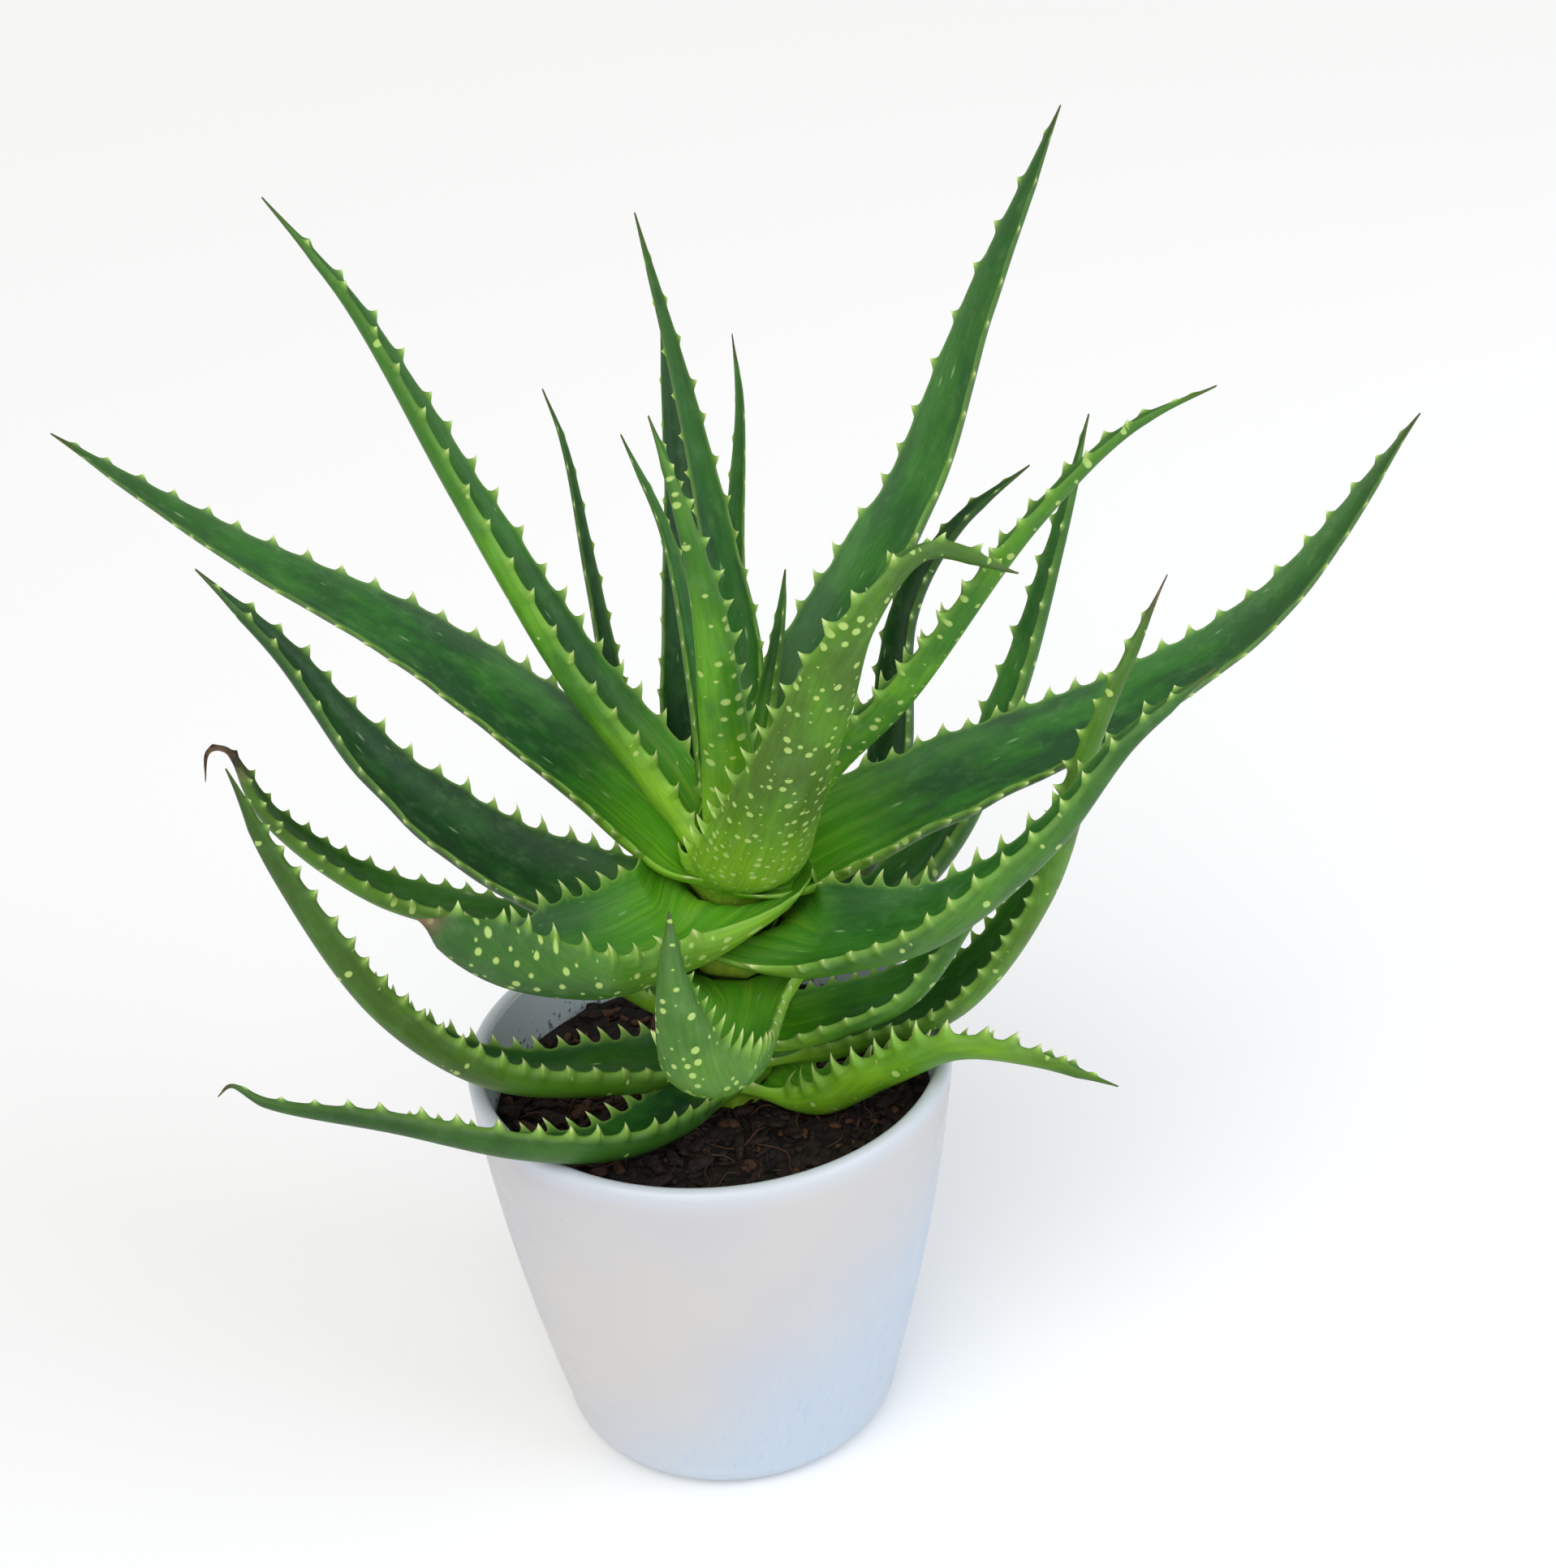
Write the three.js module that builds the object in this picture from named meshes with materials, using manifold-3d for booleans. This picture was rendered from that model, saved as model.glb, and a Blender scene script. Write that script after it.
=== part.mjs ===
// Potted tree aloe: a glazed pot, its soil, and a short stem that carries 25 toothed leaves.
// Millimetres, +Z up. The origin is the centre of the pot's flat underside.
// -Y is the side the plant is looked at from; +X is to the right.
import * as THREE from 'three';
import { mergeVertices } from 'three/addons/utils/BufferGeometryUtils.js';
import Module from 'manifold-3d';

const wasm = await Module();
wasm.setup();

// ---------------------------------------------------------------- driving dimensions
const POT_HEIGHT = 127.5;
const RIM_RADIUS = 71;      // outside of the rim
const FOOT_RADIUS = 51.5;   // where the wall runs into the rounded foot edge
const FOOT_ROUND = 9;       // radius of that foot edge
const WALL_BULGE = 2.4;     // how far the wall swells beyond a straight cone
const WALL = 4.6;           // wall thickness, also the width of the rounded rim
const FLOOR = 6;            // thickness of the pot's floor
const POT_SIDES = 56;

const SOIL_EDGE_Z = 108;    // soil level at the wall
const SOIL_RISE = 3;        // and how much higher it is round the stem
const GAP = 0.3;            // clearance between pieces that touch
const LEAF_GAP = 0.5;       // and round a leaf, whose margins are thin

const STEM_FOOT = { x: 5, z: 110 };   // where the stem leaves the soil
const STEM_LEAN = 0.08;               // it leans to +X by this much per mm of height
const STEM_PROFILE = [                // [radius, z]
  [0, 78], [4, 80], [7, 90], [8, 112], [8.6, 150], [8.4, 178], [6.8, 194], [3.5, 205], [0, 209],
];

// ---------------------------------------------------------------- the leaves
// Youngest first, so that each leaf gives way to the ones inside it. All lengths are mm.
//   stands   direction that the leaf stands out in from the stem, degrees from +X
//   width    across the base, measured round the channel;  thick: at the keel near the base
//   channel  half angle of the gutter at base, middle and tip, degrees
//   roll     turn about the leaf's own length at base, middle and tip, degrees
//   spine    points on the keel line of the upper face, from the stem to the tip
//   full     share of the length that keeps the full width;  taper: power of the narrowing
const LEAVES = [
  { name: 'leaf_inner_small', stands: 60, width: 8, thick: 4, channel: [60, 50, 40], roll: [0, 0, 0],
    spine: [[14, 3, 195], [20, 8, 226], [26, 10, 254], [29, 12, 272]] },
  { name: 'leaf_centre_front', stands: 255, width: 16, thick: 6, channel: [80, 55, 50], roll: [0, 0, 0],
    spine: [[10, -6, 188], [11, -12, 219], [10, -15, 248], [8, -13, 276], [2, -6, 305], [-4, 4, 321]] },
  { name: 'leaf_centre_tall', stands: 85, width: 17, thick: 6, channel: [70, 40, 40], roll: [0, 0, 0], taper: 0.9,
    spine: [[10, 7, 191], [13, 20, 217], [15, 30, 240], [11, 38, 270], [4, 48, 311], [-6, 58, 358]] },
  { name: 'leaf_upper_left', stands: 175, width: 22, thick: 6, channel: [70, 55, 50], roll: [-5, 2, 15],
    spine: [[4, 3, 190], [-8, 10, 212], [-29, 18, 241], [-56, 31, 291], [-83, 45, 343], [-103, 50, 370]] },
  { name: 'leaf_upper_right', stands: 50, width: 27, thick: 8, channel: [60, 25, 30], roll: [0, 0, 0],
    spine: [[14, 4, 189], [28, 24, 218], [46, 42, 246], [68, 58, 276], [87, 74, 320], [112, 90, 372]] },
  { name: 'leaf_front_recurved', stands: 280, width: 37, thick: 8, channel: [62, 38, 40], roll: [0, 0, 0], taper: 1.0,
    spine: [[13, -8, 183], [21, -27, 213], [33, -42, 250], [46, -48, 284], [62, -40, 299], [88, -24, 284]] },
  { name: 'leaf_far_left', stands: 165, width: 28, thick: 7, channel: [50, 25, 30], roll: [-28, -22, -15],
    spine: [[3, 1, 184], [-12, 7, 200], [-38, 15, 223], [-76, 31, 248], [-124, 50, 270], [-176, 70, 300]] },
  { name: 'leaf_far_right', stands: 5, width: 29, thick: 8, channel: [50, 22, 35], roll: [30, 26, 22],
    spine: [[17, 0, 181], [40, 1, 195], [79, 5, 211], [125, 15, 226], [165, 26, 248], [206, 44, 294]] },
  { name: 'leaf_right_arching', stands: 330, width: 20, thick: 5, channel: [70, 50, 40], roll: [0, 0, 0],
    spine: [[17, -3, 185], [36, -8, 221], [57, -14, 246], [92, -20, 297], [117, -16, 319], [139, -12, 327]] },
  { name: 'leaf_back_thin', stands: 80, width: 10, thick: 4, channel: [60, 50, 40], roll: [0, 0, 0],
    spine: [[11, 9, 176], [13, 34, 217], [15, 54, 258], [19, 68, 299], [18, 74, 317]] },
  { name: 'leaf_back_left_thin', stands: 110, width: 8, thick: 4, channel: [60, 50, 40], roll: [0, 0, 0],
    spine: [[7, 9, 182], [3, 24, 238], [-3, 38, 273], [-14, 48, 299]] },
  { name: 'leaf_back_dark', stands: 95, width: 24, thick: 7, channel: [60, 45, 40], roll: [0, 0, 0],
    spine: [[8, 9, 166], [2, 30, 202], [1, 50, 235], [1, 66, 271], [-2, 84, 320]] },
  { name: 'leaf_front_left_short', stands: 225, width: 42, thick: 8, channel: [60, 72, 60], roll: [-8, -10, 55],
    full: 0.35, taper: 2.4,
    spine: [[8, -7, 180], [-8, -25, 182], [-26, -37, 182], [-48, -47, 189], [-71, -54, 209]] },
  { name: 'leaf_mid_left', stands: 180, width: 29, thick: 7, channel: [50, 35, 75], roll: [-26, -26, 0],
    spine: [[1, -1, 166], [-16, -2, 175], [-52, 2, 191], [-86, 9, 220], [-110, 16, 255], [-130, 20, 278]] },
  { name: 'leaf_front_right', stands: 310, width: 29, thick: 8, channel: [60, 45, 50], roll: [48, -2, 0],
    spine: [[14, -8, 169], [33, -24, 178], [62, -38, 190], [92, -41, 215], [115, -34, 240], [139, -26, 255]] },
  { name: 'leaf_front_upturned', stands: 265, width: 29, thick: 7, channel: [60, 50, 60], roll: [0, 0, 0],
    full: 0.5, taper: 0.8,
    spine: [[10, -9, 155], [11, -28, 160], [5, -50, 156], [-2, -65, 166], [-6, -64, 188], [-6, -54, 207]] },
  { name: 'leaf_back_left', stands: 115, width: 11, thick: 6, channel: [60, 45, 40], roll: [0, 0, 0], taper: 0.8,
    spine: [[6, 9, 150], [-13, 22, 178], [-20, 38, 216], [-26, 54, 256], [-31, 64, 291], [-36, 68, 306]] },
  { name: 'leaf_right_steep', stands: 20, width: 18, thick: 7, channel: [60, 45, 40], roll: [0, 0, 0],
    spine: [[15, 4, 143], [42, 14, 157], [70, 30, 174], [92, 46, 212], [106, 56, 252], [117, 62, 292]] },
  { name: 'leaf_back_right_arch', stands: 45, width: 20, thick: 7, channel: [60, 45, 40], roll: [0, 0, 0],
    spine: [[13, 6, 138], [36, 32, 153], [56, 56, 180], [64, 69, 230], [80, 72, 256], [101, 68, 275]] },
  { name: 'leaf_right_hidden', stands: 330, width: 20, thick: 6, channel: [60, 50, 40], roll: [30, 15, 0],
    spine: [[13, -4, 132], [35, -12, 143], [57, -17, 155], [77, -18, 183], [98, -14, 205]] },
  { name: 'leaf_left_curl_tip', stands: 165, width: 16, thick: 6, channel: [60, 60, 40], roll: [-8, 0, 0],
    spine: [[0, 4, 130], [-24, 20, 141], [-60, 29, 155], [-94, 30, 168], [-120, 22, 198], [-129, 15, 225],
      [-133, 10, 227], [-134, 6, 220]] },
  { name: 'leaf_low_left_long', stands: 195, width: 18, thick: 7, channel: [50, 50, 45], roll: [-10, 25, 50],
    spine: [[-2, -3, 126], [-26, -19, 134], [-58, -28, 143], [-85, -29, 165], [-110, -24, 208], [-121, -22, 239]] },
  { name: 'leaf_right_brown_tip', stands: 10, width: 22, thick: 6, channel: [50, 55, 50], roll: [0, 0, -70],
    spine: [[13, 3, 121], [40, 5, 126], [71, 5, 136], [96.5, 1, 174], [109.5, -11, 229.5], [130, 0, 270]] },
  { name: 'leaf_low_right', stands: 340, width: 20, thick: 7, channel: [50, 45, 40], roll: [-10, -40, -25],
    spine: [[12, -4, 115], [30, -12, 117], [50, -21, 131], [70, -29, 143], [92, -33, 140], [114, -38, 132]] },
  { name: 'leaf_low_left_rim', stands: 230, width: 18, thick: 6, channel: [50, 45, 40], roll: [0, 20, 30],
    spine: [[3, -6, 117], [-26, -43, 127], [-50, -57, 138], [-84, -56, 147], [-120, -44, 147], [-130, -40, 150],
      [-135, -38, 145]] },
];
const STATIONS = 15;                                  // cross sections along a leaf
const UPPER = [-1, -0.6, -0.2, 0.2, 0.6, 1];          // places across the upper face
const LOWER = [0.75, 0.3, -0.3, -0.75];               // and back across the underside
const MARGIN = 0.15;                                  // half width of the very tip

// ---------------------------------------------------------------- materials
const finish = (color, roughness) => new THREE.MeshStandardMaterial({ color, roughness, metalness: 0 });
const GLAZE = 0xe4e8ee, SOIL = 0x35241c, BARK = 0x6f8f3a, LEAF = 0x3f7f3c;

// ---------------------------------------------------------------- solids
// A geometry as a solid: only its positions count, and equal corners become one.
function solidOf(geometry) {
  const bare = geometry.clone().deleteAttribute('normal').deleteAttribute('uv');
  const { attributes, index } = mergeVertices(bare, 1e-3);
  return new wasm.Manifold(new wasm.Mesh({
    numProp: 3, vertProperties: attributes.position.array, triVerts: new Uint32Array(index.array),
  }));
}

// The largest connected part of a solid, as a geometry: what a cut leaves of one piece.
function geometryOf(solid) {
  const mesh = solid.getMesh();
  const root = Array.from({ length: mesh.numVert }, (_, i) => i);
  const find = (i) => { while (root[i] !== i) i = root[i] = root[root[i]]; return i; };
  for (let t = 0; t < mesh.triVerts.length; t += 3) {
    root[find(mesh.triVerts[t + 1])] = find(mesh.triVerts[t]);
    root[find(mesh.triVerts[t + 2])] = find(mesh.triVerts[t]);
  }
  const size = new Map();
  for (const v of mesh.triVerts) size.set(find(v), (size.get(find(v)) ?? 0) + 1);
  const largest = [...size].reduce((a, b) => (b[1] > a[1] ? b : a))[0];
  const kept = [...mesh.triVerts].filter((_, i) => find(mesh.triVerts[i - (i % 3)]) === largest);
  const corners = kept.flatMap((v) => [...mesh.vertProperties.subarray(v * mesh.numProp, v * mesh.numProp + 3)]);
  const geometry = new THREE.BufferGeometry();
  geometry.setAttribute('position', new THREE.Float32BufferAttribute(corners, 3));
  geometry.computeVertexNormals();
  return geometry;
}

// Rings of equally many points joined into a closed skin: a flat cap on the first ring, whose
// outline in its own plane is given, and a point beyond the last ring.
function skin(rings, outline, end) {
  const around = rings[0].length, points = [...rings.flat(), end], faces = [];
  for (const [a, b, c] of THREE.ShapeUtils.triangulateShape(outline, [])) {
    const ccw = THREE.ShapeUtils.area([outline[a], outline[b], outline[c]]) > 0;
    faces.push(...(ccw ? [a, b, c] : [a, c, b]));
  }
  rings.forEach((ring, i) => ring.forEach((_, j) => {
    const k = (j + 1) % around, a = i * around + j, b = i * around + k;
    if (i === rings.length - 1) faces.push(points.length - 1, a, b);
    else faces.push(a, b, b + around, a, b + around, a + around);
  }));
  const geometry = new THREE.BufferGeometry().setFromPoints(points);
  geometry.setIndex(faces);
  return geometry;
}

// A profile of [radius, z] turned about the vertical axis.
function turned(profile, sides) {
  const geometry = new THREE.LatheGeometry(profile.map(([r, z]) => new THREE.Vector2(r, z)), sides);
  return geometry.rotateX(Math.PI / 2);
}

// ---------------------------------------------------------------- pot and soil
// Radius of the outer wall at height z: a cone with a parabolic swelling.
function outerRadius(z) {
  const k = (POT_HEIGHT - z) / (POT_HEIGHT - FOOT_ROUND);
  return RIM_RADIUS + (FOOT_RADIUS - RIM_RADIUS) * k + WALL_BULGE * 4 * k * (1 - k);
}

const heights = (from, to, steps) => Array.from({ length: steps + 1 }, (_, i) => from + (to - from) * i / steps);
const arc = (r, z, radius, from, to, steps) => heights(from, to, steps).map((degrees) => {
  const a = THREE.MathUtils.degToRad(degrees);
  return [r + radius * Math.cos(a), z + radius * Math.sin(a)];
});

// The inside of the pot from height `top` down to its floor, `inset` clear of it.
function insideProfile(top, inset) {
  const corner = 10;
  const wall = heights(top, FLOOR + corner, 6).map((z) => [outerRadius(z) - WALL - inset, z]);
  const foot = outerRadius(FLOOR + corner) - WALL - inset;
  return [...wall, [foot - corner, FLOOR + inset], [0, FLOOR + inset]];
}

function pot() {
  const lip = WALL / 2, lipZ = POT_HEIGHT - lip;
  const profile = [
    [0, 0], ...arc(FOOT_RADIUS - FOOT_ROUND, FOOT_ROUND, FOOT_ROUND, -90, 0, 4),
    ...heights(FOOT_ROUND, lipZ, 7).slice(1).map((z) => [outerRadius(z), z]),
    ...arc(outerRadius(lipZ) - lip, lipZ, lip, 0, 180, 6).slice(1),
    ...insideProfile(lipZ, 0).slice(1),
  ];
  return turned(profile, POT_SIDES);
}

function soil() {
  const edge = outerRadius(SOIL_EDGE_Z) - WALL - GAP;
  const dome = [0, 0.3, 0.6, 0.85].map((k) => [edge * k, SOIL_EDGE_Z + SOIL_RISE * (1 - k * k)]);
  return turned([...insideProfile(SOIL_EDGE_Z, GAP).reverse(), ...dome.reverse()], POT_SIDES);
}

// ---------------------------------------------------------------- stem
function stem(grow = 0) {
  const profile = STEM_PROFILE.map(([r, z], i) => (i === 0 ? [0, z - grow]
    : i === STEM_PROFILE.length - 1 ? [0, z + grow] : [r + grow, z]));
  const lean = new THREE.Matrix4().makeShear(0, 0, 0, 0, STEM_LEAN, 0);
  return turned(profile, 18).applyMatrix4(lean).translate(STEM_FOOT.x - STEM_LEAN * STEM_FOOT.z, 0, 0);
}

// ---------------------------------------------------------------- a leaf
// A value given at base, middle and tip, read at s = 0..1 along the leaf.
const along = ([base, middle, tip], s) => (s < 0.5
  ? THREE.MathUtils.lerp(base, middle, 2 * s) : THREE.MathUtils.lerp(middle, tip, 2 * s - 1));

// A channelled, tapering blade, `grow` larger all round. At each station the upper face is an arc
// round a centre on the upper side; the underside bulges away from that centre by the thickness.
function leaf({ stands, width, thick, channel, roll, spine, full = 0.1, taper = 1.35 }, grow = 0) {
  const curve = new THREE.CatmullRomCurve3(spine.map((p) => new THREE.Vector3(...p)), false, 'centripetal');
  const a = THREE.MathUtils.degToRad(stands);
  const inward = new THREE.Vector3(-0.5 * Math.cos(a), -0.5 * Math.sin(a), 1);
  const frame = (s) => {
    const tangent = curve.getTangentAt(s);
    const normal = inward.clone().addScaledVector(tangent, -inward.dot(tangent)).normalize();
    normal.applyAxisAngle(tangent, THREE.MathUtils.degToRad(along(roll, s)));
    return { tangent, normal, side: new THREE.Vector3().crossVectors(tangent, normal) };
  };
  const ring = (s) => {
    const { tangent, normal, side } = frame(s);
    const share = 1 - Math.max(0, (s - full) / (1 - full)) ** taper;
    const bend = THREE.MathUtils.degToRad(along(channel, s));
    const radius = (width / 2 * share + MARGIN) / bend;
    const depth = thick * (0.15 + 0.85 * share) * Math.min(1, 10 * (1 - s)) + 0.4;
    const base = curve.getPointAt(s).addScaledVector(tangent, s === 0 ? -grow : 0);
    const at = (u, r) => {
      const angle = u * (bend + grow / radius);
      return base.clone().addScaledVector(normal, radius - r * Math.cos(angle))
        .addScaledVector(side, r * Math.sin(angle));
    };
    const swell = (u) => depth * (1 - u * u) ** 0.6;
    return [
      ...UPPER.map((u) => at(u, Math.abs(u) === 1 ? radius : Math.max(radius - grow, radius * 0.3))),
      ...LOWER.map((u) => at(u, radius + swell(u) + grow)),
    ];
  };
  const rings = heights(0, 1, STATIONS).slice(0, -1).map((s) => ring(s ** 0.95));
  const { normal, side } = frame(0);
  const outline = rings[0].map((p) => new THREE.Vector2(p.dot(side), p.dot(normal)));
  return skin(rings, outline, curve.getPointAt(1).addScaledVector(curve.getTangentAt(1), grow));
}

// ---------------------------------------------------------------- assembly
const plant = new THREE.Group();
plant.name = 'potted_aloe';

function add(name, geometry, material) {
  const mesh = new THREE.Mesh(geometry, material);
  mesh.name = name;
  plant.add(mesh);
}

add('pot', pot(), finish(GLAZE, 0.35));
add('stem', stem(), finish(BARK, 0.8));

// Each leaf gives way to the stem and to every leaf inside it, by the gap.
const taken = [solidOf(stem(GAP))];
for (const spec of LEAVES) {
  const blade = taken.reduce((rest, other) => rest.subtract(other), solidOf(leaf(spec)));
  add(spec.name, geometryOf(blade), finish(LEAF, 0.55));
  taken.push(solidOf(leaf(spec, LEAF_GAP)));
}

// The soil closes round the stem and under the leaves that press into it.
add('soil', geometryOf(taken.reduce((rest, other) => rest.subtract(other), solidOf(soil()))), finish(SOIL, 1));

export default plant;
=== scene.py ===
"""A potted tree aloe: a white glazed pot, dark potting mix, and a short stem with 25 toothed leaves.

Lengths in the tables are millimetres and become metres when a mesh is made. The origin is the
centre of the pot's underside, +Z is up, and the plant is looked at from -Y.
"""

import math

import bpy
import numpy as np
from mathutils import Matrix, Vector


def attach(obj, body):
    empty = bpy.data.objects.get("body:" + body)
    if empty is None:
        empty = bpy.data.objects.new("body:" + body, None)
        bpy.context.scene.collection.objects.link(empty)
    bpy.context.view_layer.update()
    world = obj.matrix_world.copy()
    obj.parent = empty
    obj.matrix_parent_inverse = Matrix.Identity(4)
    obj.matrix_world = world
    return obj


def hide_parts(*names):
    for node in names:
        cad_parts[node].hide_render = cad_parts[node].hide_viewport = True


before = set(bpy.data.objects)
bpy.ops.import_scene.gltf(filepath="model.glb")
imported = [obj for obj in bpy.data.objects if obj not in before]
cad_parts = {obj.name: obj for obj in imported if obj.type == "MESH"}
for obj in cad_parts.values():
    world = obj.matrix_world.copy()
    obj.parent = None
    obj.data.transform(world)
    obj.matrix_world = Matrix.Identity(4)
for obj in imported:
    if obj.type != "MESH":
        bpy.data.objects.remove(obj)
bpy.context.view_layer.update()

# ------ sizes, as in the CAD part
POT_HEIGHT = 127.5
RIM_RADIUS = 71.0
FOOT_RADIUS = 51.5
FOOT_ROUND = 9.0
WALL_BULGE = 2.4
WALL = 4.6
FLOOR = 6.0
FLOOR_CORNER = 10.0          # radius where the floor meets the wall
SOIL_EDGE_Z = 108.0
SOIL_RISE = 3.0
GAP = 0.3                    # between soil and pot, and stem and sheath
STEM_FOOT = (5.0, 110.0)     # x and z of the point where the stem leaves the soil
STEM_LEAN = 0.08             # its lean to +X per mm of height
STEM_PROFILE = [(0, 78), (4, 80), (7, 90), (8, 112), (8.6, 150), (8.4, 178), (6.8, 194), (3.5, 205), (0, 209)]

# ------ sizes of the finish
SHEATH = 10.0                # sleeve below a leaf's base, on most leaves
MOUTH = 14.0                 # height above the base where the sleeve has become the blade
SECTION_GAP = 2.2            # between a leaf's sections, away from its teeth
BARE_TIP = 6.0               # length without teeth at a leaf's tip
SPIKE = 2.1                  # half the width of a tooth
SHOULDER = 4.6               # half the width of the swelling that a tooth stands on
HOOK = 0.62                  # how far a tooth points to the leaf's tip, as a share of its height
LIFT = 0.16                  # how far it points up, the same way
PLEAT_GAP = 3.6              # from fold to fold near a leaf's base
PLEAT_DEPTH = 0.32           # half the depth of a fold in the blade
SLEEVE_PLEAT_DEPTH = 0.8     # and in the sleeve
POT_WAVER = 0.12             # how far the pot's radius strays from round
SOIL_LUMPS = ((0.85, 14, 5), (0.55, 6, 6), (0.35, 2.6, 7))   # height, size and seed of each kind
SOIL_FOOT = 7.0              # height of the filling's underside
SCAR_GAP = 5.0               # from one leaf scar to the next, up the stem
SCAR_TILT = 1.5              # how far a scar rises and falls round the stem

# What a leaf has where its row says nothing. Three numbers are for its base, middle and tip.
#   channel: half angle of the gutter, degrees   roll: turn about its own length, degrees
#   tone: its skin                               full: share of the length with the full width
#   taper: power of the narrowing                curl: how much more its upper half leans inwards
#   sheath: sleeve below the base, mm            mouth: height where the sleeve has opened, mm
#   flare, belly: how far the sleeve widens to its top and bulges, mm
#   rim: how much higher the sleeve's two edges are than its middle, mm
#   bare: length without teeth at the base       fade: share of their height that teeth lose to the tip
#   young: length of the yellow-green base       cream, scorch: how pale and how dried its foot is
#   dim: how far the leaf is darkened            spots: share of the places for spots that have one
#   dry: share of the length at which the tip turns dry, if under 1
PLAIN = dict(
    channel=(60, 45, 40), roll=(0, 0, 0), full=0.1, taper=1.35, curl=0, sheath=SHEATH, mouth=MOUTH,
    flare=2.6, belly=0, rim=(3, 3), bare=7, fade=0.5, tone="mid", young=36, cream=0.3, scorch=0, dim=0,
    spots=0.2, dry=1.2)

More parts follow.
